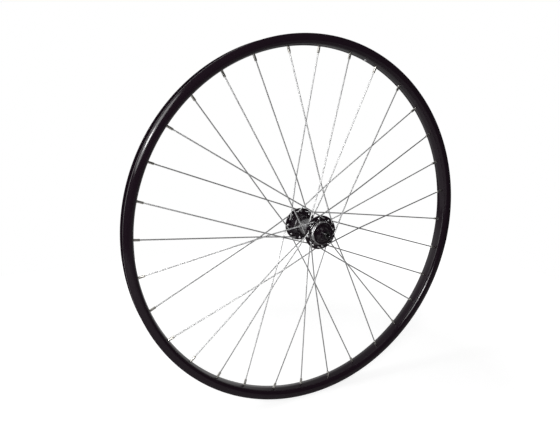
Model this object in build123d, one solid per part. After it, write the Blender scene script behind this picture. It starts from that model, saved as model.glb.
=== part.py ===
from build123d import *
import os
from math import cos, hypot, radians, sin, sqrt, tan

# A laced bicycle wheel, in millimetres.
# The origin is the wheel's centre, the axle lies along Y and Z is up.
# The right side of the wheel is towards -Y and the left side towards +Y.
# An angle about the axle is 0 at the top and turns from +Z towards +X.

# Rim: a hooked single-wall section, rounded from the lips over the shoulders and flanks to an arched bed
bead_seat_diameter = 559.0
bead_flange_height = 6.5
rim_width = 26.0
tyre_width = 19.6
hook_reach = 0.5
hook_height = 2.2
hook_bevel = 0.4
bead_land = 1.2
well_depth = 6.6
well_width = 14.0
bed_wall = 2.6
bed_flat = 3.6
bed_round = 12.0
arch_width = 17.8
arch_height = 1.4
arch_round = 7.0
flank_height = 5.2
flank_round = 7.0
shoulder_drop = 4.5
shoulder_round = 13.0
lip_width = 22.4
lip_round = 1.7
valve_hole_diameter = 8.5

# Lacing: three crossings, repeating every four spokes round the rim
spoke_count = 32
crossing_count = 3
first_nipple_turn = -8.6
nipple_stagger = 1.2
crossing_gap = 0.3
valve_pitch = 2.5
lacing_repeat = 4

# Spokes: bent wire with a flat-domed head
spoke_diameter = 2.0
spoke_head_diameter = 3.8
spoke_head_height = 1.2
spoke_head_slope = 25.0
elbow_radius = 3.0
elbow_offset = 3.1
crossing_radius = 60.0
spoke_past_seat = 0.8
wire_sides = 8

# Nipples: a square drive below a cone head
nipple_length = 14.0
nipple_head_height = 2.4
nipple_shank_diameter = 4.0
nipple_head_diameter = 5.8
nipple_drive_width = 3.4
nipple_seat_slope = 45.0
nipple_dome_slope = 20.0
nipple_hole_clearance = 0.2
thread_clearance = 0.03

# Hub shell
flange_spacing = 63.8
flange_diameter = 52.4
flange_wall = 2.8
flange_edge_bevel = 0.5
spoke_circle_diameter = 44.0
spoke_hole_clearance = 0.3
barrel_diameter = 26.0
barrel_bore_diameter = 21.0
flare_length = 8.0
flare_rise = 5.0
flare_round = 8.0
collar_diameter = 37.6
collar_length = 7.5
collar_round = 2.6

# Sealed bearings: two rings with a seal on each face
bearing_bore_diameter = 12.0
bearing_outer_diameter = 28.0
bearing_width = 8.0
bearing_recess = 2.0
inner_ring_wall = 2.5
outer_ring_wall = 2.4
seal_thickness = 0.7
seal_inset = 0.3
seal_running_gap = 0.06

# Axle and end caps, for a fork 100 mm wide between its ends
fork_width = 100.0
axle_length = 108.0
axle_end_diameter = 9.0
axle_end_bevel = 0.6
skewer_bore_diameter = 5.3
axle_shoulder_height = 1.5
axle_step_inset = 0.5
cap_boss_diameter = 16.0
cap_boss_length = 0.6
cap_skirt_gap = 0.5
cap_skirt_thickness = 1.8
cap_cone_diameter = 22.0
cap_nose_diameter = 16.0
cap_nose_length = 4.0
cap_edge_bevel = 0.5

# Gap left between pieces that are pressed or seated together
seat_gap = 0.02

# Radii and places that follow from the sizes above
bead_radius = bead_seat_diameter / 2
rim_radius = bead_radius + bead_flange_height
floor_radius = bead_radius - well_depth
bed_radius = floor_radius - bed_wall
pitch_angle = 360 / spoke_count
lacing_angle = crossing_count * 2 * pitch_angle
spoke_radius = spoke_diameter / 2
spoke_circle_radius = spoke_circle_diameter / 2
flange_middle = flange_spacing / 2
flange_inner_face = flange_middle - flange_wall / 2
flange_outer_face = flange_middle + flange_wall / 2
collar_end = flange_outer_face + collar_length
bearing_outer_face = collar_end - bearing_recess
bearing_inner_face = bearing_outer_face - bearing_width
bearing_radius = bearing_outer_diameter / 2
axle_radius = bearing_bore_diameter / 2
inner_ring_radius = axle_radius + inner_ring_wall
outer_ring_radius = bearing_radius - outer_ring_wall
fork_face = fork_width / 2


def turned(outline):
    # A ring about the axle, from corners given as radius, place along the axle and rounding
    corners = [(radius, along) for radius, along, rounding in outline]
    roundings = [rounding for radius, along, rounding in outline]
    return revolve(make_face(FilletPolyline(*corners, radius=roundings, close=True)), Axis.Y)


def both_sides(half):
    # A whole outline from its +Y half
    return half + [(radius, -along, rounding) for radius, along, rounding in reversed(half)]


def sided(side, outline):
    return [(radius, side * along, rounding) for radius, along, rounding in outline]


def prism(radius, start, end, slope=0.0):
    # An upright many-sided bar around a circle, narrowing by the slope
    outline = RegularPolygon(radius, wire_sides, major_radius=False)
    return extrude(Pos(0, 0, start) * outline, end - start, taper=slope)


def spoke_leans_forward(kind):
    return kind in (0, 3)


def spoke_side(kind):
    return -1 if kind % 2 == 0 else 1


def hub_hole_turn(kind):
    return lacing_angle if spoke_leans_forward(kind) else -lacing_angle


def spoke_plane(kind):
    # The plane that a spoke lies in, its nipple at the top: x along the spoke and y along the axle
    turn = radians(hub_hole_turn(kind))
    start = Vector(spoke_circle_radius * sin(turn), 0, spoke_circle_radius * cos(turn))
    along = Vector(0, 0, floor_radius) - start
    return Plane(origin=start, x_dir=along, z_dir=along.cross(Vector(0, 1, 0))), along.length


def crossing_share():
    # How far along a spoke its outermost crossing lies
    pitch = tan(radians(pitch_angle))
    turn = radians(lacing_angle)
    reach = spoke_circle_radius * (sin(turn) - pitch * cos(turn))
    return reach / (reach + pitch * floor_radius)


def spoke_points(kind):
    # Head, elbow, crossing and nipple seat; a spoke that runs outside its flange passes
    # behind the other one at the outermost crossing
    side = spoke_side(kind)
    outward = side if spoke_leans_forward(kind) else -side
    flange = side * flange_middle
    seat = side * nipple_stagger
    length = spoke_plane(kind)[1]
    share = crossing_share()
    head = flange - outward * (flange_wall / 2 + seat_gap)
    elbow = flange + outward * (flange_wall / 2 + elbow_offset)
    crossing = flange + (seat - flange) * share - outward * (spoke_diameter + crossing_gap) / 2
    return [(0, head), (0, elbow), (share * length, crossing), (length, seat)]


def nipple_plane(kind):
    # The nipple's seat at the well floor, with z along the spoke and out of the wheel
    plane = spoke_plane(kind)[0]
    crossing, seat = spoke_points(kind)[2:]
    run = plane.x_dir * (seat[0] - crossing[0]) + plane.y_dir * (seat[1] - crossing[1])
    return Plane(origin=plane.from_local_coords((seat[0], seat[1], 0)), z_dir=run)


def spoke(kind):
    plane, length = spoke_plane(kind)
    points = spoke_points(kind)
    run = hypot(length - points[2][0], points[3][1] - points[2][1])
    past = 1 + spoke_past_seat / run
    end = tuple(points[2][i] + (points[3][i] - points[2][i]) * past for i in (0, 1))
    path = plane * FilletPolyline(*points[:3], end, radius=[elbow_radius, crossing_radius])
    start = Plane(origin=path @ 0, z_dir=path % 0)
    wire = sweep(start * RegularPolygon(spoke_radius, wire_sides), path=path)
    head_face = Plane(origin=path @ 0, z_dir=-(path % 0))
    head_outline = head_face * RegularPolygon(spoke_head_diameter / 2, wire_sides)
    return wire + extrude(head_outline, spoke_head_height, taper=spoke_head_slope)


def nipple_cone(gap):
    # The cone under a nipple's head, grown by a gap for its seat in the rim
    head = nipple_head_diameter / 2
    depth = (head - nipple_shank_diameter / 2) / tan(radians(nipple_seat_slope))
    return Pos(0, 0, -gap) * prism(head + gap, 0, -depth, nipple_seat_slope)


def nipple():
    half = nipple_drive_width / 2
    corner = half - sqrt((nipple_shank_diameter / 2) ** 2 - half**2)
    square = Rectangle(nipple_drive_width, nipple_drive_width)
    drive = extrude(chamfer(square.vertices(), corner), nipple_head_height - nipple_length)
    dome = prism(nipple_head_diameter / 2, 0, nipple_head_height, nipple_dome_slope)
    bore = prism(spoke_radius + thread_clearance, -nipple_length, nipple_length)
    return drive + nipple_cone(0) + dome - bore


def nipple_seat_cut():
    hole = prism(nipple_shank_diameter / 2 + nipple_hole_clearance, -nipple_length, 0)
    mouth = prism(nipple_head_diameter / 2 + seat_gap, -seat_gap, nipple_head_height)
    return hole + nipple_cone(seat_gap) + mouth


def spoke_turn(index):
    return first_nipple_turn + index * pitch_angle


def rim():
    half = [
        (bed_radius, bed_flat / 2, bed_round),
        (bed_radius + arch_height, arch_width / 2, arch_round),
        (bed_radius + flank_height, rim_width / 2, flank_round),
        (rim_radius - shoulder_drop, rim_width / 2, shoulder_round),
        (rim_radius, lip_width / 2, lip_round),
        (rim_radius, tyre_width / 2 - hook_reach + hook_bevel, 0),
        (rim_radius - hook_bevel, tyre_width / 2 - hook_reach, 0),
        (rim_radius - hook_height, tyre_width / 2 - hook_reach, 0),
        (rim_radius - hook_height - hook_reach, tyre_width / 2, 0),
        (bead_radius, tyre_width / 2, 0),
        (bead_radius, tyre_width / 2 - bead_land, 0),
        (floor_radius, well_width / 2, 0),
    ]
    seat_cuts = [nipple_plane(kind) * nipple_seat_cut() for kind in range(lacing_repeat)]
    cuts = []
    for index in range(spoke_count):
        cuts.append(Rot(0, spoke_turn(index), 0) * seat_cuts[index % lacing_repeat])
    valve_hole = Pos(0, 0, floor_radius) * Cylinder(valve_hole_diameter / 2, 2 * (bed_wall + well_depth))
    cuts.append(Rot(0, spoke_turn(valve_pitch), 0) * valve_hole)
    return turned(both_sides(half)) - cuts


def hub_shell():
    flange_radius = flange_diameter / 2
    collar_radius = collar_diameter / 2
    barrel_radius = barrel_diameter / 2
    hole_radius = spoke_radius + spoke_hole_clearance
    half = [
        (barrel_radius, flange_inner_face - flare_length, flare_round),
        (barrel_radius + flare_rise, flange_inner_face, 0),
        (flange_radius - flange_edge_bevel, flange_inner_face, 0),
        (flange_radius, flange_inner_face + flange_edge_bevel, 0),
        (flange_radius, flange_outer_face - flange_edge_bevel, 0),
        (flange_radius - flange_edge_bevel, flange_outer_face, 0),
        (collar_radius, flange_outer_face, 0),
        (collar_radius, collar_end, collar_round),
        (bearing_radius + seat_gap, collar_end, 0),
        (bearing_radius + seat_gap, bearing_inner_face, 0),
        (barrel_bore_diameter / 2, bearing_inner_face, 0),
    ]
    holes = []
    for index in range(spoke_count):
        kind = index % lacing_repeat
        centre = (0, spoke_side(kind) * flange_middle, spoke_circle_radius)
        round_hole = RegularPolygon(hole_radius, wire_sides, major_radius=False)
        outline = Plane(origin=centre, z_dir=(0, 1, 0)) * round_hole
        hole = extrude(outline, flange_wall, both=True)
        holes.append(Rot(0, spoke_turn(index) + hub_hole_turn(kind), 0) * hole)
    return turned(both_sides(half)) - holes


def plain_ring(side, inner, outer, start, end):
    return turned(sided(side, [(inner, start, 0), (outer, start, 0), (outer, end, 0), (inner, end, 0)]))


def bearing_ring(side, inner, outer):
    return plain_ring(side, inner, outer, bearing_inner_face, bearing_outer_face)


def bearing_seals(side):
    inner = inner_ring_radius + seal_running_gap
    outer = outer_ring_radius - seat_gap
    starts = (bearing_inner_face + seal_inset, bearing_outer_face - seal_inset - seal_thickness)
    seals = [plain_ring(side, inner, outer, start, start + seal_thickness) for start in starts]
    return Compound(children=seals)


def axle():
    end_radius = axle_end_diameter / 2
    body = axle_radius - seat_gap
    half = [
        (axle_radius + axle_shoulder_height, bearing_inner_face, 0),
        (body, bearing_inner_face, 0),
        (body, fork_face - axle_step_inset, 0),
        (end_radius, fork_face - axle_step_inset, 0),
        (end_radius, axle_length / 2 - axle_end_bevel, 0),
        (end_radius - axle_end_bevel, axle_length / 2, 0),
        (skewer_bore_diameter / 2, axle_length / 2, 0),
    ]
    return turned(both_sides(half))


def end_cap(side):
    skirt_start = bearing_outer_face + cap_boss_length
    skirt_end = skirt_start + cap_skirt_thickness
    skirt_radius = bearing_radius - cap_skirt_gap
    nose_radius = cap_nose_diameter / 2
    return turned(sided(side, [
        (axle_radius, bearing_outer_face, 0),
        (cap_boss_diameter / 2, bearing_outer_face, 0),
        (cap_boss_diameter / 2, skirt_start, 0),
        (skirt_radius, skirt_start, 0),
        (skirt_radius, skirt_end - cap_edge_bevel, 0),
        (skirt_radius - cap_edge_bevel, skirt_end, 0),
        (cap_cone_diameter / 2, skirt_end, 0),
        (nose_radius, fork_face - cap_nose_length, 0),
        (nose_radius, fork_face - cap_edge_bevel, 0),
        (nose_radius - cap_edge_bevel, fork_face, 0),
        (axle_radius, fork_face, 0),
    ]))


def wheel_pieces():
    pieces = {"rim": rim(), "hub_shell": hub_shell(), "axle": axle()}
    spokes = [spoke(kind) for kind in range(lacing_repeat)]
    nipples = [nipple_plane(kind) * nipple() for kind in range(lacing_repeat)]
    laced_nipples = []
    for index in range(spoke_count):
        place = Rot(0, spoke_turn(index), 0)
        pieces[f"spoke_{index + 1:02d}"] = place * spokes[index % lacing_repeat]
        laced_nipples.append(place * nipples[index % lacing_repeat])
    pieces["nipples"] = Compound(children=laced_nipples)
    for name, side in (("right", -1), ("left", 1)):
        pieces[f"{name}_bearing_inner_ring"] = bearing_ring(side, axle_radius, inner_ring_radius)
        pieces[f"{name}_bearing_outer_ring"] = bearing_ring(side, outer_ring_radius, bearing_radius)
        pieces[f"{name}_bearing_seals"] = bearing_seals(side)
        pieces[f"{name}_end_cap"] = end_cap(side)
    return pieces


os.makedirs("parts", exist_ok=True)
for name, piece in wheel_pieces().items():
    export_step(piece, f"parts/{name}.step")
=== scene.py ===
import math

import bmesh
import bpy
from mathutils import Matrix, Vector


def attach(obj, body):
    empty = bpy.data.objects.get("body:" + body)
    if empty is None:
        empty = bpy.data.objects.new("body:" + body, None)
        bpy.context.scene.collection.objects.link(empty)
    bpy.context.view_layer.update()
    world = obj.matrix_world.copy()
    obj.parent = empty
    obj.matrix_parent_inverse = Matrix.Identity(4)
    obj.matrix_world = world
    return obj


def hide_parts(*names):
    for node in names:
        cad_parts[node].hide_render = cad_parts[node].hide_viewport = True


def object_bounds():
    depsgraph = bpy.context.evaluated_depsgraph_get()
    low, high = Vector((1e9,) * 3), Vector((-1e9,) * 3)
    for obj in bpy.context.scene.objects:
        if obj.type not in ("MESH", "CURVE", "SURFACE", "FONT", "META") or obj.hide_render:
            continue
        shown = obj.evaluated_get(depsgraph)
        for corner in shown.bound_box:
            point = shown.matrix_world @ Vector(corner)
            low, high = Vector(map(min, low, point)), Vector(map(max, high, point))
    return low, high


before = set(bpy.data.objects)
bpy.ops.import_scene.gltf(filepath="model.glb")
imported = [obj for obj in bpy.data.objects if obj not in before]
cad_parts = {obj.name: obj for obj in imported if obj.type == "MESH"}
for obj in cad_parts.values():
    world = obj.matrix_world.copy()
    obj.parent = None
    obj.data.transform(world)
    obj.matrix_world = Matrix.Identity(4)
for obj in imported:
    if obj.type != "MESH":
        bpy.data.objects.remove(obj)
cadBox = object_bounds()
mm = 0.001  # the wheel's sizes are given in millimetres, and Blender gets metres
axle = Vector((0, 1, 0))
smoothLimit = 32  # degrees up to which two faces shade as one
print("frame loaded,", len(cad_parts), "nodes")


def aboutAxle(turn):
    # 0 is the top of the wheel, and the turn goes from +Z towards +X
    return Matrix.Rotation(math.radians(turn), 4, "Y")


def roundCorner(before, here, after, rounding, arcStep):
    # the points of one rounded corner, or the corner itself where it is sharp
    if rounding == 0:
        return [here]
    toBefore = (before - here).normalized()
    toAfter = (after - here).normalized()
    half = toBefore.angle(toAfter) / 2
    centre = here + (toBefore + toAfter).normalized() * (rounding / math.sin(half))
    reach = rounding / math.tan(half)
    start = here + toBefore * reach - centre
    end = here + toAfter * reach - centre
    sweep = math.pi - 2 * half
    if start.x * end.y - start.y * end.x < 0:
        sweep = -sweep
    steps = max(2, math.ceil(abs(math.degrees(sweep)) / arcStep))
    return [centre + Matrix.Rotation(sweep * step / steps, 2) @ start for step in range(steps + 1)]


def roundedOutline(corners, arcStep):
    # a closed outline from corners given as radius, place along the axle and rounding
    places = [Vector(corner[:2]) for corner in corners]
    points = []
    for i, corner in enumerate(corners):
        after = places[(i + 1) % len(places)]
        points += roundCorner(places[i - 1], places[i], after, corner[2], arcStep)
    return points


def bothSides(half):
    return half + [(radius, -along, rounding) for radius, along, rounding in reversed(half)]


def oneSide(side, outline):
    return [(radius, side * along, rounding) for radius, along, rounding in outline]


def newPiece(name, verts, faces, smoothAngle=smoothLimit):
    # a mesh object with outward faces, smooth up to an angle
    mesh = bpy.data.meshes.new(name)
    mesh.from_pydata(verts, [], faces)
    shape = bmesh.new()
    shape.from_mesh(mesh)
    bmesh.ops.recalc_face_normals(shape, faces=shape.faces)
    shape.to_mesh(mesh)
    shape.free()
    piece = bpy.data.objects.new(name, mesh)
    bpy.context.scene.collection.objects.link(piece)
    shadeSmooth(piece, smoothAngle)
    return piece


def shadeSmooth(piece, smoothAngle):
    piece.data.polygons.foreach_set("use_smooth", [True] * len(piece.data.polygons))
    piece.data.set_sharp_from_angle(angle=math.radians(smoothAngle))


def skinned(rings, closed=False):
    # verts and faces through rings of equal count, the last joined to the first or both ends capped
    count = len(rings[0])
    verts = [point for ring in rings for point in ring]
    faces = [] if closed else [tuple(range(count)), tuple(range(len(verts) - count, len(verts)))]
    for i in range(len(rings) if closed else len(rings) - 1):
        here = i * count
        there = (i + 1) % len(rings) * count
        for j in range(count):
            k = (j + 1) % count
            faces.append((here + j, here + k, there + k, there + j))
    return verts, faces


def turned(name, outline, segments):
    # a closed ring about the axle
    flat = [Vector((0, point.y, point.x)) * mm for point in outline]
    turns = [aboutAxle(360 * segment / segments) for segment in range(segments)]
    return newPiece(name, *skinned([[turn @ point for point in flat] for turn in turns], True))


def cut(piece, cutter, smoothAngle=smoothLimit):
    holes = piece.modifiers.new("holes", "BOOLEAN")
    holes.object = cutter
    holes.solver = "EXACT"
    seen = piece.evaluated_get(bpy.context.evaluated_depsgraph_get())
    mesh = bpy.data.meshes.new_from_object(seen)
    piece.modifiers.clear()
    piece.data = mesh
    bpy.data.objects.remove(cutter)
    shadeSmooth(piece, smoothAngle)


def joined(name, piece, places):
    # one object with a copy of the piece at each place
    shape = bmesh.new()
    for place in places:
        first = len(shape.verts)
        shape.from_mesh(piece.data)
        shape.verts.ensure_lookup_table()
        bmesh.ops.transform(shape, matrix=place, verts=shape.verts[first:])
    mesh = bpy.data.meshes.new(name)
    shape.to_mesh(mesh)
    shape.free()
    whole = bpy.data.objects.new(name, mesh)
    bpy.context.scene.collection.objects.link(whole)
    bpy.data.objects.remove(piece)
    return whole


def ringOf(radius, height, sides, flat=None):
    # a level ring, cut by four flats where a half width is given
    points = []
    for i in range(sides):
        angle = 2 * math.pi * (i + 0.5) / sides
        reach = radius
        if flat:
            reach = min(radius, flat / max(abs(math.cos(angle)), abs(math.sin(angle))))
        points.append(Vector((reach * math.cos(angle), reach * math.sin(angle), height)) * mm)
    return points


# The lacing, which the spokes, nipples and holes share
lacing = {
    "spokes": 32,
    "crossings": 3,
    "firstTurn": -8.6,  # degrees from the top
    "valvePitch": 2.5,  # spoke pitches from the first spoke
    "repeat": 4,
    "seatRadius": 272.9,
    "seatOffset": 1.2,
    "hubCircle": 22.0,
    "flangeMiddle": 31.9,
    "flangeWall": 2.8,
    "wire": 2.0,
    "crossingGap": 0.3,
    "elbowOffset": 3.1,
    "seatGap": 0.02,
}
pitch = 360 / lacing["spokes"]
lacingTurn = 2 * pitch * lacing["crossings"]


def spokeTurn(index):
    return lacing["firstTurn"] + index * pitch


def spokeSide(kind):
    # right and left by turns
    return -1 if kind % 2 == 0 else 1


def leansForward(kind):
    # on each side one spoke leans forward and the next one back
    return kind in (0, 3)


def hubTurn(kind):
    return lacingTurn if leansForward(kind) else -lacingTurn


def spokeAxes(kind):
    # where a spoke leaves the hub, its direction and its length, for a nipple at the top of the wheel
    turn = math.radians(hubTurn(kind))
    start = Vector((math.sin(turn), 0, math.cos(turn))) * lacing["hubCircle"]
    run = Vector((0, 0, lacing["seatRadius"])) - start
    return start, run.normalized(), run.length


def spokeCorners(kind):
    # head, elbow, outermost crossing and nipple seat: x along the spoke, y along the axle
    side = spokeSide(kind)
    outward = side if leansForward(kind) else -side
    flange = side * lacing["flangeMiddle"]
    seat = side * lacing["seatOffset"]
    slope = math.tan(math.radians(pitch))
    turn = math.radians(lacingTurn)
    reach = lacing["hubCircle"] * (math.sin(turn) - slope * math.cos(turn))
    share = reach / (reach + slope * lacing["seatRadius"])
    length = spokeAxes(kind)[2]
    halfWall = lacing["flangeWall"] / 2
    bow = (lacing["wire"] + lacing["crossingGap"]) / 2
    return [
        Vector((0, flange - outward * (halfWall + lacing["seatGap"]))),
        Vector((0, flange + outward * (halfWall + lacing["elbowOffset"]))),
        Vector((share * length, flange + (seat - flange) * share - outward * bow)),
        Vector((length, seat)),
    ]


def inSpokePlane(kind, point):
    start, along = spokeAxes(kind)[:2]
    return start + along * point.x + axle * point.y


def nipplePlace(kind):
    # the nipple's seat, with z along the spoke and out of the wheel
    crossing, seat = [inSpokePlane(kind, point) for point in spokeCorners(kind)[2:]]
    upward = (seat - crossing).normalized()
    across = axle.cross(upward).normalized()
    turn = Matrix((across, upward.cross(across), upward)).transposed().to_4x4()
    return Matrix.Translation(seat * mm) @ turn


def laced(kindOf):
    # the places of all pieces that repeat with the lacing
    return [aboutAxle(spokeTurn(i)) @ kindOf(i % lacing["repeat"]) for i in range(lacing["spokes"])]


# Spokes: drawn wire with a bent elbow and a flat domed head
spokeForm = {
    "sides": 16,
    "smoothAngle": 40,
    "elbowRound": 3.0,
    "elbowStep": 9,  # degrees between points of the bend
    "crossingRound": 60.0,
    "crossingStep": 1,
    "pastSeat": 0.8,
    "headRadius": 1.9,
    "headHeight": 1.2,
    "headWall": 0.3,
    "tipRadius": 0.02,
    "domeTilt": 46,
    "domeSteps": 6,
}


def headStations(seat, outward):
    # the domed head, from its top down to the flange
    form = spokeForm
    steep = math.radians(form["domeTilt"])
    rise = form["headHeight"] - form["headWall"]
    stations = []
    for step in range(form["domeSteps"] + 1):
        tilt = steep * step / form["domeSteps"]
        wide = max(form["headRadius"] * math.sin(tilt) / math.sin(steep), form["tipRadius"])
        tall = form["headWall"] + rise * (math.cos(tilt) - math.cos(steep)) / (1 - math.cos(steep))
        stations.append((seat - outward * tall, outward, wide))
    stations.append((seat, outward, form["headRadius"]))
    return stations


def spokeWire(name, kind):
    form = spokeForm
    corners = spokeCorners(kind)
    last = corners[3] + (corners[3] - corners[2]).normalized() * form["pastSeat"]
    line = [corners[0]]
    line += roundCorner(*corners[:3], form["elbowRound"], form["elbowStep"])
    line += roundCorner(corners[1], corners[2], last, form["crossingRound"], form["crossingStep"])
    line.append(last)
    outward = (corners[1] - corners[0]).normalized()
    stations = headStations(corners[0], outward)
    for i, point in enumerate(line):
        ahead = line[min(i + 1, len(line) - 1)] - line[max(i - 1, 0)]
        heading = outward if i == 0 else ahead.normalized()
        stations.append((point, heading, lacing["wire"] / 2))
    along = spokeAxes(kind)[1]
    normal = along.cross(axle)
    rings = []
    for point, heading, radius in stations:
        middle = inSpokePlane(kind, point)
        cross = (along * heading.x + axle * heading.y).cross(normal)
        ring = []
        for i in range(form["sides"]):
            angle = 2 * math.pi * i / form["sides"]
            ring.append((middle + (normal * math.cos(angle) + cross * math.sin(angle)) * radius) * mm)
        rings.append(ring)
    return newPiece(name, *skinned(rings), form["smoothAngle"])


def makeSpokes():
    meshes = []
    for kind in range(lacing["repeat"]):
        first = spokeWire(f"spokeWire{kind}", kind)
        meshes.append(first.data)
        bpy.data.objects.remove(first)
    wires = []
    for i in range(lacing["spokes"]):
        wire = bpy.data.objects.new(f"wire_{i + 1:02d}", meshes[i % lacing["repeat"]])
        bpy.context.scene.collection.objects.link(wire)
        wire.matrix_world = aboutAxle(spokeTurn(i))
        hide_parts(f"spoke_{i + 1:02d}")
        wires.append(wire)
    return wires


# Nipples: round shank with four wrench flats, a cone under a domed head and a screwdriver slot
nippleForm = {
    "sides": 32,
    "smoothAngle": 30,
    "length": 14.0,
    "headHeight": 2.4,
    "shank": 2.0,
    "head": 2.9,
    "flat": 1.7,
    "flatLength": 7.5,
    "bore": 1.03,
    "boreInset": 0.1,
    "tipBevel": 0.35,
    "slotWidth": 0.9,
    "slotDepth": 1.0,
    "slotReach": 4.0,
    "holeGap": 0.2,
    "holeSides": 24,
    # share of the head's radius, and height
    "dome": [(1.0, 0.0), (1.0, 0.5), (0.94, 1.15), (0.81, 1.75), (0.64, 2.15), (0.43, 2.4)],
}


def makeNipples():
    form = nippleForm
    tip = form["headHeight"] - form["length"]
    flatEnd = tip + form["flatLength"]
    bevel = form["tipBevel"]
    sections = [
        (form["bore"], form["headHeight"] - form["boreInset"], None),
        (form["bore"], tip, None),
        (form["shank"] - bevel, tip, form["flat"] - bevel),
        (form["shank"], tip + bevel, form["flat"]),
        (form["shank"], flatEnd, form["flat"]),
        (form["shank"], flatEnd + bevel, None),
        (form["shank"], form["shank"] - form["head"], None),
    ]
    sections += [(share * form["head"], height, None) for share, height in form["dome"]]
    rings = [ringOf(radius, height, form["sides"], flat) for radius, height, flat in sections]
    nipple = newPiece("nipple", *skinned(rings, True), form["smoothAngle"])
    half = form["slotWidth"] / 2
    low = form["headHeight"] - form["slotDepth"]
    reach = form["slotReach"]
    corners = ((-reach, -half), (reach, -half), (reach, half), (-reach, half))
    slot = [[Vector((x, y, height)) * mm for x, y in corners] for height in (low, reach)]
    cut(nipple, newPiece("slot", *skinned(slot)), form["smoothAngle"])
    nipples = joined("nipple_set", nipple, laced(nipplePlace))
    shadeSmooth(nipples, form["smoothAngle"])
    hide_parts("nipples")
    return nipples


# Rim: a rounded, hooked single-wall section, black all over but for the bare drilled valve hole
rimForm = {
    "segments": 384,
    "arcStep": 6,
    "radius": 286.0,
    "bedRadius": 270.3,
    "halfFlat": 1.8,
    "bedRound": 12.0,
    "halfArch": 8.9,
    "archHeight": 1.4,
    "archRound": 7.0,
    "flankHeight": 5.2,
    "flankRound": 7.0,
    "halfWidth": 13.0,
    "shoulderDrop": 4.5,
    "shoulderRound": 13.0,
    "halfLip": 11.2,
    "lipRound": 1.7,
    "halfTyre": 9.8,
    "hookReach": 0.5,
    "hookHeight": 2.2,
    "hookRound": 0.4,
    "hookUnderRound": 0.15,
    "beadRadius": 279.5,
    "beadLand": 1.2,
    "beadRound": 0.3,
    "halfWell": 7.0,
    "wellRound": 0.8,
    "valveRadius": 4.25,
    "valveReach": 9.0,
    "valveSides": 40,
    "wallMargin": 0.03,  # how far a face of the valve hole's wall may lie off its radius, as a share
    "wallTilt": 0.05,
}


def seatCutter():
    form = nippleForm
    gap = lacing["seatGap"]
    wide = form["head"] + gap
    hole = form["shank"] + form["holeGap"]
    sections = [
        (hole, -form["length"]),
        (hole, hole - wide - gap),
        (wide, -gap),
        (wide, 2 * form["headHeight"]),
    ]
    rings = [ringOf(radius, height, form["holeSides"]) for radius, height in sections]
    return joined("seats", newPiece("seat", *skinned(rings)), laced(nipplePlace))


def valveCutter():
    form = rimForm
    heights = (lacing["seatRadius"] - form["valveReach"], lacing["seatRadius"] + form["valveReach"])
    rings = [ringOf(form["valveRadius"], height, form["valveSides"]) for height in heights]
    cutter = newPiece("valveDrill", *skinned(rings))
    cutter.data.transform(aboutAxle(spokeTurn(lacing["valvePitch"])))
    return cutter


def makeRim():
    form = rimForm
    lip = form["halfTyre"] - form["hookReach"]
    half = [
        (form["bedRadius"], form["halfFlat"], form["bedRound"]),
        (form["bedRadius"] + form["archHeight"], form["halfArch"], form["archRound"]),
        (form["bedRadius"] + form["flankHeight"], form["halfWidth"], form["flankRound"]),
        (form["radius"] - form["shoulderDrop"], form["halfWidth"], form["shoulderRound"]),
        (form["radius"], form["halfLip"], form["lipRound"]),
        (form["radius"], lip, form["hookRound"]),
        (form["radius"] - form["hookHeight"], lip, form["hookUnderRound"]),
        (form["radius"] - form["hookHeight"] - form["hookReach"], form["halfTyre"], 0),
        (form["beadRadius"], form["halfTyre"], form["beadRound"]),
        (form["beadRadius"], form["halfTyre"] - form["beadLand"], form["beadRound"]),
        (lacing["seatRadius"], form["halfWell"], form["wellRound"]),
    ]
    rim = turned("hoop", roundedOutline(bothSides(half), form["arcStep"]), form["segments"])
    cut(rim, seatCutter())
    cut(rim, valveCutter())
    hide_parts("rim")
    return rim


def markValveWall(rim, wallIndex):
    # the drilled wall of the valve hole, found by its distance from the hole's own axis
    out = aboutAxle(spokeTurn(lacing["valvePitch"])) @ Vector((0, 0, 1))
    radius = rimForm["valveRadius"] * mm
    for face in rim.data.polygons:
        height = face.center.dot(out)
        offset = (face.center - out * height).length - radius
        onWall = height > 0 and abs(offset) < rimForm["wallMargin"] * radius
        if onWall and abs(face.normal.dot(out)) < rimForm["wallTilt"]:
            face.material_index = wallIndex


# Hub: turned shell with two drilled flanges and a bevelled collar at each end
hubForm = {
    "segments": 160,
    "arcStep": 9,
    "barrel": 13.0,
    "barrelBore": 10.5,
    "flareLength": 8.0,
    "flareRise": 5.0,
    "flareRound": 8.0,
    "flange": 26.2,
    "flangeRound": 0.6,
    "rootRound": 0.8,
    "collar": 18.8,
    "collarEnd": 40.8,
    "collarWall": 3.2,
    "collarFace": 17.0,
    "collarRound": 3.0,
    "faceRound": 0.8,
    "mouthRound": 0.3,
    "bearing": 14.0,
    "bearingInside": 30.8,
    "bearingOutside": 38.8,
    "holeRadius": 1.3,
    "holeSides": 20,
    "bevelFacing": (0.3, 0.985),  # 1 faces straight away from the axle
    "barrelFacing": 0.9,
}


def flangeDrill(kind):
    turn = math.radians(hubTurn(kind))
    middle = Vector((math.sin(turn), 0, math.cos(turn))) * lacing["hubCircle"]
    middle += axle * spokeSide(kind) * lacing["flangeMiddle"]
    return Matrix.Translation(middle * mm) @ Matrix.Rotation(math.radians(90), 4, "X")


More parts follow.
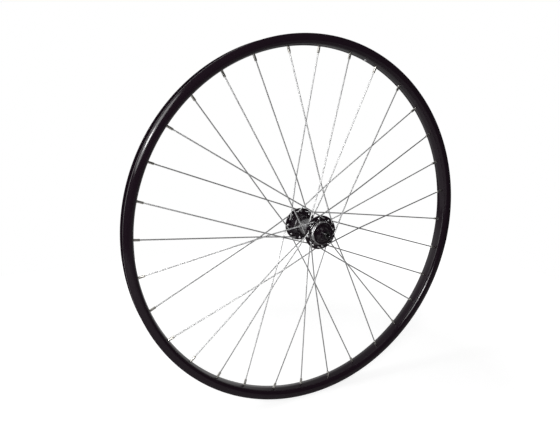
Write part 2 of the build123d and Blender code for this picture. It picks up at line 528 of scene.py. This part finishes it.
def makeHub():
    form = hubForm
    inner = lacing["flangeMiddle"] - lacing["flangeWall"] / 2
    outer = lacing["flangeMiddle"] + lacing["flangeWall"] / 2
    seat = form["bearing"] + lacing["seatGap"]
    half = [
        (form["barrel"], inner - form["flareLength"], form["flareRound"]),
        (form["barrel"] + form["flareRise"], inner, form["rootRound"]),
        (form["flange"], inner, form["flangeRound"]),
        (form["flange"], outer, form["flangeRound"]),
        (form["collar"], outer, form["rootRound"]),
        (form["collar"], outer + form["collarWall"], form["collarRound"]),
        (form["collarFace"], form["collarEnd"], form["faceRound"]),
        (seat, form["collarEnd"], form["mouthRound"]),
        (seat, form["bearingInside"], 0),
        (form["barrelBore"], form["bearingInside"], 0),
    ]
    hub = turned("shell", roundedOutline(bothSides(half), form["arcStep"]), form["segments"])
    heights = (-lacing["flangeWall"], lacing["flangeWall"])
    rings = [ringOf(form["holeRadius"], height, form["holeSides"]) for height in heights]
    cut(hub, joined("drills", newPiece("drill", *skinned(rings)), laced(flangeDrill)))
    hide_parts("hub_shell")
    return hub


def markTurned(hub, bevelIndex, barrelIndex):
    # the polished walls: the bevel of both collars, and the barrel between the flares
    flangeEnd = (lacing["flangeMiddle"] + lacing["flangeWall"] / 2) * mm
    low, high = hubForm["bevelFacing"]
    for face in hub.data.polygons:
        outward = Vector((face.center.x, 0, face.center.z)).normalized()
        facing = face.normal.dot(outward)
        underCollar = outward.dot(face.center) < hubForm["collar"] * mm
        if abs(face.center.y) > flangeEnd:
            if low < facing < high:
                face.material_index = bevelIndex
        elif underCollar and facing > hubForm["barrelFacing"]:
            face.material_index = barrelIndex


# Axle and end caps
endForm = {
    "segments": 112,
    "axleArcStep": 15,
    "capArcStep": 12,
    "axle": 6.0,
    "axleEnd": 4.5,
    "axleReach": 54.0,
    "axleRound": 0.6,
    "bore": 2.65,
    "boreRound": 0.35,
    "shoulder": 7.5,
    "shoulderRound": 0.2,
    "forkFace": 50.0,
    "stepInset": 0.5,
    "boss": 8.0,
    "bossLength": 0.6,
    "skirt": 13.5,
    "skirtThickness": 1.8,
    "skirtRound": 0.2,
    "cone": 11.0,
    "coneRound": 0.4,
    "nose": 8.0,
    "noseLength": 4.0,
    "noseRound": 0.8,
    "mouthRound": 0.25,
    "edgeRound": 0.5,
}


def makeAxle():
    form = endForm
    radius = form["axle"] - lacing["seatGap"]
    half = [
        (form["shoulder"], hubForm["bearingInside"], form["shoulderRound"]),
        (radius, hubForm["bearingInside"], 0),
        (radius, form["forkFace"] - form["stepInset"], 0),
        (form["axleEnd"], form["forkFace"] - form["stepInset"], 0),
        (form["axleEnd"], form["axleReach"], form["axleRound"]),
        (form["bore"], form["axleReach"], form["boreRound"]),
    ]
    tube = turned("tube", roundedOutline(bothSides(half), form["axleArcStep"]), form["segments"])
    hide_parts("axle")
    return tube


def makeCap(name, side):
    form = endForm
    start = hubForm["bearingOutside"]
    skirtStart = start + form["bossLength"]
    skirtEnd = skirtStart + form["skirtThickness"]
    outline = [
        (form["axle"], start, 0),
        (form["boss"], start, 0),
        (form["boss"], skirtStart, 0),
        (form["skirt"], skirtStart, form["skirtRound"]),
        (form["skirt"], skirtEnd, form["edgeRound"]),
        (form["cone"], skirtEnd, form["coneRound"]),
        (form["nose"], form["forkFace"] - form["noseLength"], form["noseRound"]),
        (form["nose"], form["forkFace"], form["edgeRound"]),
        (form["axle"], form["forkFace"], form["mouthRound"]),
    ]
    points = roundedOutline(oneSide(side, outline), form["capArcStep"])
    cap = turned(f"{name}_cap", points, form["segments"])
    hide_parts(f"{name}_end_cap")
    return cap


spokes = makeSpokes()
nipples = makeNipples()
print("spokes laced,", len(spokes), "wires,", len(nipples.data.polygons), "faces on the nipples")
rim = makeRim()
print("rim turned and drilled,", len(rim.data.polygons), "faces")
hub = makeHub()
tube = makeAxle()
caps = [makeCap("right", -1), makeCap("left", 1)]
print("hub turned,", len(hub.data.polygons), "faces")


def makeGroup(name, inputs, outputs):
    group = bpy.data.node_groups.new(name, "ShaderNodeTree")
    for label in inputs:
        group.interface.new_socket(label, in_out="INPUT", socket_type="NodeSocketFloat")
    for label in outputs:
        group.interface.new_socket(label, in_out="OUTPUT", socket_type="NodeSocketFloat")
    return group, group.nodes.new("NodeGroupInput"), group.nodes.new("NodeGroupOutput")


def addMath(tree, operation, first, second):
    node = tree.nodes.new("ShaderNodeMath")
    node.operation = operation
    for socket, value in zip(node.inputs, (first, second)):
        if isinstance(value, (int, float)):
            socket.default_value = value
        else:
            tree.links.new(value, socket)
    return node.outputs[0]


def addRange(tree, value, fromSpan, toSpan=(0.0, 1.0)):
    node = tree.nodes.new("ShaderNodeMapRange")
    labels = ("From Min", "From Max", "To Min", "To Max")
    for label, number in zip(labels, (*fromSpan, *toSpan)):
        node.inputs[label].default_value = number
    tree.links.new(value, node.inputs["Value"])
    return node.outputs["Result"]


# Patterns that the finishes share
patternForm = {
    "lineDetail": 3.0,
    "lineSpan": (0.3, 0.7),
    "smudgeDetail": 4.0,
    "smudgeRoughness": 0.6,
    "smudgeSpan": (0.42, 0.68),
    "coverScale": 25.0,
    "coverSpan": (0.5, 0.75),
}


def turnedLinesGroup():
    # fine lines that run round the axle, as drawing and turning leave them
    group, given, made = makeGroup("turnedLines", ["Fineness"], ["Lines"])
    place = group.nodes.new("ShaderNodeTexCoord")
    split = group.nodes.new("ShaderNodeSeparateXYZ")
    group.links.new(place.outputs["Object"], split.inputs[0])
    squareX = addMath(group, "MULTIPLY", split.outputs["X"], split.outputs["X"])
    squareZ = addMath(group, "MULTIPLY", split.outputs["Z"], split.outputs["Z"])
    radius = addMath(group, "SQRT", addMath(group, "ADD", squareX, squareZ), 0.0)
    across = group.nodes.new("ShaderNodeCombineXYZ")
    group.links.new(radius, across.inputs["X"])
    group.links.new(split.outputs["Y"], across.inputs["Y"])
    noise = group.nodes.new("ShaderNodeTexNoise")
    noise.noise_dimensions = "2D"
    noise.inputs["Detail"].default_value = patternForm["lineDetail"]
    group.links.new(across.outputs[0], noise.inputs["Vector"])
    group.links.new(given.outputs["Fineness"], noise.inputs["Scale"])
    group.links.new(noise.outputs["Fac"], made.inputs["Lines"])
    return group


def smudgesGroup():
    # soft patches where the surface was handled
    group, given, made = makeGroup("smudges", ["Scale"], ["Patches"])
    place = group.nodes.new("ShaderNodeTexCoord")
    noise = group.nodes.new("ShaderNodeTexNoise")
    noise.inputs["Detail"].default_value = patternForm["smudgeDetail"]
    noise.inputs["Roughness"].default_value = patternForm["smudgeRoughness"]
    group.links.new(place.outputs["Object"], noise.inputs["Vector"])
    group.links.new(given.outputs["Scale"], noise.inputs["Scale"])
    patches = addRange(group, noise.outputs["Fac"], patternForm["smudgeSpan"])
    group.links.new(patches, made.inputs["Patches"])
    return group


def dustGroup():
    # small pale specks, thicker in some places than in others
    group, given, made = makeGroup("dust", ["Scale", "Speck"], ["Specks"])
    place = group.nodes.new("ShaderNodeTexCoord")
    cells = group.nodes.new("ShaderNodeTexVoronoi")
    group.links.new(place.outputs["Object"], cells.inputs["Vector"])
    group.links.new(given.outputs["Scale"], cells.inputs["Scale"])
    cover = group.nodes.new("ShaderNodeTexNoise")
    cover.inputs["Scale"].default_value = patternForm["coverScale"]
    group.links.new(place.outputs["Object"], cover.inputs["Vector"])
    speck = addMath(group, "LESS_THAN", cells.outputs["Distance"], given.outputs["Speck"])
    thick = addRange(group, cover.outputs["Fac"], patternForm["coverSpan"])
    group.links.new(addMath(group, "MULTIPLY", speck, thick), made.inputs["Specks"])
    return group


turnedLines = turnedLinesGroup()
smudges = smudgesGroup()
dust = dustGroup()


def newMaterial(name):
    material = bpy.data.materials.new(name)
    material.use_nodes = True
    return material, material.node_tree, material.node_tree.nodes["Principled BSDF"]


def placeGroup(tree, group, **values):
    node = tree.nodes.new("ShaderNodeGroup")
    node.node_tree = group
    for label, value in values.items():
        node.inputs[label].default_value = value
    return node.outputs[0]


def addMix(tree, share, first, second):
    # the mix node keeps its two colours on sockets 6 and 7, and the mixed one on output 2
    node = tree.nodes.new("ShaderNodeMix")
    node.data_type = "RGBA"
    tree.links.new(share, node.inputs["Factor"])
    node.inputs[6].default_value = (*first, 1)
    node.inputs[7].default_value = (*second, 1)
    return node.outputs[2]


def addBump(tree, shader, height, strength, distance):
    node = tree.nodes.new("ShaderNodeBump")
    node.inputs["Strength"].default_value = strength
    node.inputs["Distance"].default_value = distance * mm
    tree.links.new(height, node.inputs["Height"])
    tree.links.new(node.outputs["Normal"], shader.inputs["Normal"])


# Black anodised metal, with a finish for each piece and the polished walls of the hub
blackFinishes = {
    "rimBlack": {
        "tint": (0.0120, 0.0062, 0.0108),
        "roughness": (0.09, 0.14),
        "ior": 1.33,
        "fineness": 1400,
        "relief": 0.02,
    },
    "hubBlack": {
        "tint": (0.0085, 0.0038, 0.0076),
        "roughness": (0.13, 0.19),
        "ior": 1.45,
        "fineness": 3000,
        "relief": 0.02,
    },
    "barrelBlack": {
        "tint": (0.0085, 0.0046, 0.0080),
        "roughness": (0.13, 0.19),
        "ior": 2.6,
        "fineness": 3000,
        "relief": 0.02,
    },
    "collarBlack": {
        "tint": (0.0085, 0.0038, 0.0076),
        "roughness": (0.18, 0.24),
        "ior": 4.6,
        "fineness": 3000,
        "relief": 0.02,
    },
    "capBlack": {
        "tint": (0.0085, 0.0038, 0.0076),
        "roughness": (0.08, 0.13),
        "ior": 1.5,
        "fineness": 3600,
        "relief": 0.03,
    },
    "axleBlack": {
        "tint": (0.0080, 0.0072, 0.0080),
        "roughness": (0.12, 0.20),
        "ior": 1.9,
        "fineness": 4000,
        "relief": 0.04,
    },
}
blackDetail = {
    "smudgeScale": 38.0,
    "handled": 0.03,  # roughness that the smudges add
    "dustScale": 1100.0,
    "dustSpeck": 0.13,
    "dustTint": (0.03, 0.029, 0.028),
    "reliefDepth": 0.05,
}


def blackAnodised(name):
    values = blackFinishes[name]
    detail = blackDetail
    material, tree, shader = newMaterial(name)
    lines = placeGroup(tree, turnedLines, Fineness=values["fineness"])
    patches = placeGroup(tree, smudges, Scale=detail["smudgeScale"])
    specks = placeGroup(tree, dust, Scale=detail["dustScale"], Speck=detail["dustSpeck"])
    tint = addMix(tree, specks, values["tint"], detail["dustTint"])
    tree.links.new(tint, shader.inputs["Base Color"])
    handled = addMath(tree, "MULTIPLY", patches, detail["handled"])
    worked = addRange(tree, lines, patternForm["lineSpan"], values["roughness"])
    tree.links.new(addMath(tree, "ADD", worked, handled), shader.inputs["Roughness"])
    shader.inputs["IOR"].default_value = values["ior"]
    addBump(tree, shader, lines, values["relief"], detail["reliefDepth"])
    return material


# Bright metal, dulled in patches
brightFinishes = {
    "spokeSteel": {
        "tint": (0.66, 0.66, 0.66),
        "shade": (0.54, 0.54, 0.55),
        "roughness": (0.40, 0.52),
        "scale": 160,
    },
    "nippleSilver": {
        "tint": (0.72, 0.70, 0.66),
        "shade": (0.55, 0.53, 0.49),
        "roughness": (0.16, 0.32),
        "scale": 700,
    },
    "bearingSteel": {
        "tint": (0.60, 0.60, 0.61),
        "shade": (0.46, 0.46, 0.47),
        "roughness": (0.16, 0.30),
        "scale": 240,
    },
    "bareAlloy": {
        "tint": (0.88, 0.88, 0.88),
        "shade": (0.74, 0.74, 0.75),
        "roughness": (0.28, 0.42),
        "scale": 900,
    },
}
brightDetail = {
    "linesPerPatch": 30,
    "relief": 0.08,
    "reliefDepth": 0.02,
}


def brightMetal(name):
    values = brightFinishes[name]
    detail = brightDetail
    material, tree, shader = newMaterial(name)
    patches = placeGroup(tree, smudges, Scale=values["scale"])
    lines = placeGroup(tree, turnedLines, Fineness=values["scale"] * detail["linesPerPatch"])
    tint = addMix(tree, patches, values["tint"], values["shade"])
    tree.links.new(tint, shader.inputs["Base Color"])
    worked = addRange(tree, lines, patternForm["lineSpan"], values["roughness"])
    tree.links.new(worked, shader.inputs["Roughness"])
    shader.inputs["Metallic"].default_value = 1.0
    addBump(tree, shader, patches, detail["relief"], detail["reliefDepth"])
    return material


sealFinish = {
    "tint": (0.016, 0.016, 0.017),
    "dustTint": (0.06, 0.058, 0.055),
    "roughness": (0.45, 0.65),
    "smudgeScale": 300.0,
    "dustScale": 1600.0,
    "dustSpeck": 0.2,
    "relief": 0.15,
    "reliefDepth": 0.05,
}


def sealRubber():
    values = sealFinish
    material, tree, shader = newMaterial("sealRubber")
    patches = placeGroup(tree, smudges, Scale=values["smudgeScale"])
    specks = placeGroup(tree, dust, Scale=values["dustScale"], Speck=values["dustSpeck"])
    tint = addMix(tree, specks, values["tint"], values["dustTint"])
    tree.links.new(tint, shader.inputs["Base Color"])
    worn = addRange(tree, patches, (0.0, 1.0), values["roughness"])
    tree.links.new(worn, shader.inputs["Roughness"])
    addBump(tree, shader, patches, values["relief"], values["reliefDepth"])
    return material


def dress(piece, material, bodyName=None):
    # finish a piece, and tie it to the body that carries it where one is given
    piece.data.materials.clear()
    piece.data.materials.append(material)
    if bodyName:
        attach(piece, bodyName)


def addFinish(piece, material):
    # one more finish on a piece, and its index
    piece.data.materials.append(material)
    return len(piece.data.materials) - 1


capBlack = blackAnodised("capBlack")
spokeSteel = brightMetal("spokeSteel")
bearingSteel = brightMetal("bearingSteel")
rubber = sealRubber()
dress(rim, blackAnodised("rimBlack"), "wheel")
markValveWall(rim, addFinish(rim, brightMetal("bareAlloy")))
dress(nipples, brightMetal("nippleSilver"), "wheel")
dress(hub, blackAnodised("hubBlack"), "wheel")
bevelIndex = addFinish(hub, blackAnodised("collarBlack"))
barrelIndex = addFinish(hub, blackAnodised("barrelBlack"))
markTurned(hub, bevelIndex, barrelIndex)
dress(tube, blackAnodised("axleBlack"), "axle_set")
for wire in spokes:
    dress(wire, spokeSteel, "wheel")
for cap in caps:
    dress(cap, capBlack, "axle_set")
for side in ("right", "left"):
    for ring in ("inner_ring", "outer_ring"):
        dress(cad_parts[f"{side}_bearing_{ring}"], bearingSteel)
    dress(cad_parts[f"{side}_bearing_seals"], rubber)
print("materials made and assigned")


# Stage, in metres: pale floor and a white surround, with a dim room on the near side and overhead.
# A span is where a change starts and ends
stageForm = {
    "floorSize": 1.8,
    "floorGap": 0.0002,
    "floorColour": (0.5, 0.5, 0.5),
    "floorRoughness": 0.9,
    "floorShine": 0.1,
    "floorGlow": 0.74,
    "floorMirrored": 0.35,
    "fadeSpan": (0.35, 0.85),
    "backdropSpan": (-0.1, 0.2),
    "wallSpan": (-0.15, 0.45),
    "wallLow": 0.05,
    "wallLowSpan": (-0.22, 0.02),
    "wallTop": 0.45,
    "wallTopSpan": (0.25, 0.6),
    "roomNear": 0.05,
    "roomFar": 1.0,
    "roomTop": 0.35,
    "roomTopSpan": (0.05, 0.5),
}


def whiteSeen(tree, beyond):
    # white to the camera, and behind the wheel to what mirrors or lets light through
    ray = tree.nodes.new("ShaderNodeLightPath")
    mirrored = addMath(tree, "MAXIMUM", ray.outputs["Is Glossy Ray"], ray.outputs["Is Transmission Ray"])
    seenBeyond = addMath(tree, "MULTIPLY", mirrored, beyond)
    return addMath(tree, "MAXIMUM", ray.outputs["Is Camera Ray"], seenBeyond)


def makeFloor():
    form = stageForm
    half = form["floorSize"] / 2
    low = cadBox[0].z - form["floorGap"]
    corners = [(-half, -half, low), (half, -half, low), (half, half, low), (-half, half, low)]
    floor = newPiece("floor", corners, [(0, 1, 2, 3)])
    material, tree, shader = newMaterial("paleFloor")
    shader.inputs["Base Color"].default_value = (*form["floorColour"], 1)
    shader.inputs["Roughness"].default_value = form["floorRoughness"]
    shader.inputs["Specular IOR Level"].default_value = form["floorShine"]
    shader.inputs["Emission Color"].default_value = (1, 1, 1, 1)
    place = tree.nodes.new("ShaderNodeTexCoord")
    split = tree.nodes.new("ShaderNodeSeparateXYZ")
    tree.links.new(place.outputs["Object"], split.inputs[0])
    beyond = addRange(tree, split.outputs["Y"], form["backdropSpan"], (0.0, form["floorMirrored"]))
    reach = tree.nodes.new("ShaderNodeVectorMath")
    reach.operation = "DISTANCE"
    reach.inputs[1].default_value = (0, 0, low)
    tree.links.new(place.outputs["Object"], reach.inputs[0])
    fading = addRange(tree, reach.outputs["Value"], form["fadeSpan"], (form["floorGlow"], 1.0))
    glow = addMath(tree, "MULTIPLY", whiteSeen(tree, beyond), fading)
    tree.links.new(glow, shader.inputs["Emission Strength"])
    floor.data.materials.append(material)


def makeWorld():
    form = stageForm
    world = bpy.data.worlds.new("studio")
    bpy.context.scene.world = world
    world.use_nodes = True
    tree = world.node_tree
    background = tree.nodes["Background"]
    place = tree.nodes.new("ShaderNodeTexCoord")
    split = tree.nodes.new("ShaderNodeSeparateXYZ")
    tree.links.new(place.outputs["Generated"], split.inputs[0])
    far = addRange(tree, split.outputs["Y"], form["wallSpan"])
    lower = addRange(tree, split.outputs["Z"], form["wallLowSpan"], (form["wallLow"], 1.0))
    wall = addMath(tree, "MULTIPLY", far, lower)
    rising = addRange(tree, split.outputs["Z"], form["roomTopSpan"], (form["roomFar"], form["roomTop"]))
    room = addMath(tree, "MAXIMUM", addMath(tree, "MULTIPLY", wall, rising), form["roomNear"])
    upper = addRange(tree, split.outputs["Z"], form["wallTopSpan"], (1.0, form["wallTop"]))
    mirrored = addMath(tree, "MULTIPLY", wall, upper)
    strength = addMath(tree, "MAXIMUM", whiteSeen(tree, mirrored), room)
    background.inputs["Color"].default_value = (1, 1, 1, 1)
    tree.links.new(strength, background.inputs["Strength"])


# A soft key lamp with a small one before it, a strip at the left and a weak one above
lamps = {
    "key": {"place": (-0.68, -1.0, 0.57), "wide": 0.5, "tall": 0.7, "power": 8},
    "flash": {"place": (-0.63, -0.94, 0.44), "wide": 0.14, "tall": 0.14, "power": 3.2},
    "side": {"place": (-1.2, 0.27, 0.36), "wide": 0.36, "tall": 2.2, "power": 8},
    "top": {"place": (-0.4, -0.3, 1.9), "wide": 1.0, "tall": 1.0, "power": 2},
}


def makeLamps():
    for name, values in lamps.items():
        light = bpy.data.lights.new(name, "AREA")
        light.shape = "ELLIPSE"
        light.size = values["wide"]
        light.size_y = values["tall"]
        light.energy = values["power"]
        lamp = bpy.data.objects.new(name, light)
        lamp.location = values["place"]
        lamp.rotation_euler = (-lamp.location).to_track_quat("-Z", "Y").to_euler()
        bpy.context.scene.collection.objects.link(lamp)


cameraForm = {
    "place": (-0.3786, -0.6542, 0.1839),
    "forward": (0.4345, 0.8680, -0.2401),
    "sensor": 36.0,
    "lens": 31.75,
    "shiftX": -0.00125,
    "shiftY": 0.0252,
    "nearClip": 0.01,
}


def makeCamera():
    data = bpy.data.cameras.new("camera")
    data.lens = cameraForm["lens"]
    data.sensor_width = cameraForm["sensor"]
    data.sensor_fit = "HORIZONTAL"
    data.shift_x = cameraForm["shiftX"]
    data.shift_y = cameraForm["shiftY"]
    data.clip_start = cameraForm["nearClip"]
    camera = bpy.data.objects.new("camera", data)
    camera.location = cameraForm["place"]
    camera.rotation_euler = Vector(cameraForm["forward"]).to_track_quat("-Z", "Y").to_euler()
    bpy.context.scene.collection.objects.link(camera)
    bpy.context.scene.camera = camera


makeFloor()
makeWorld()
makeLamps()
makeCamera()
bpy.context.scene.view_settings.view_transform = "Standard"
print("stage set")
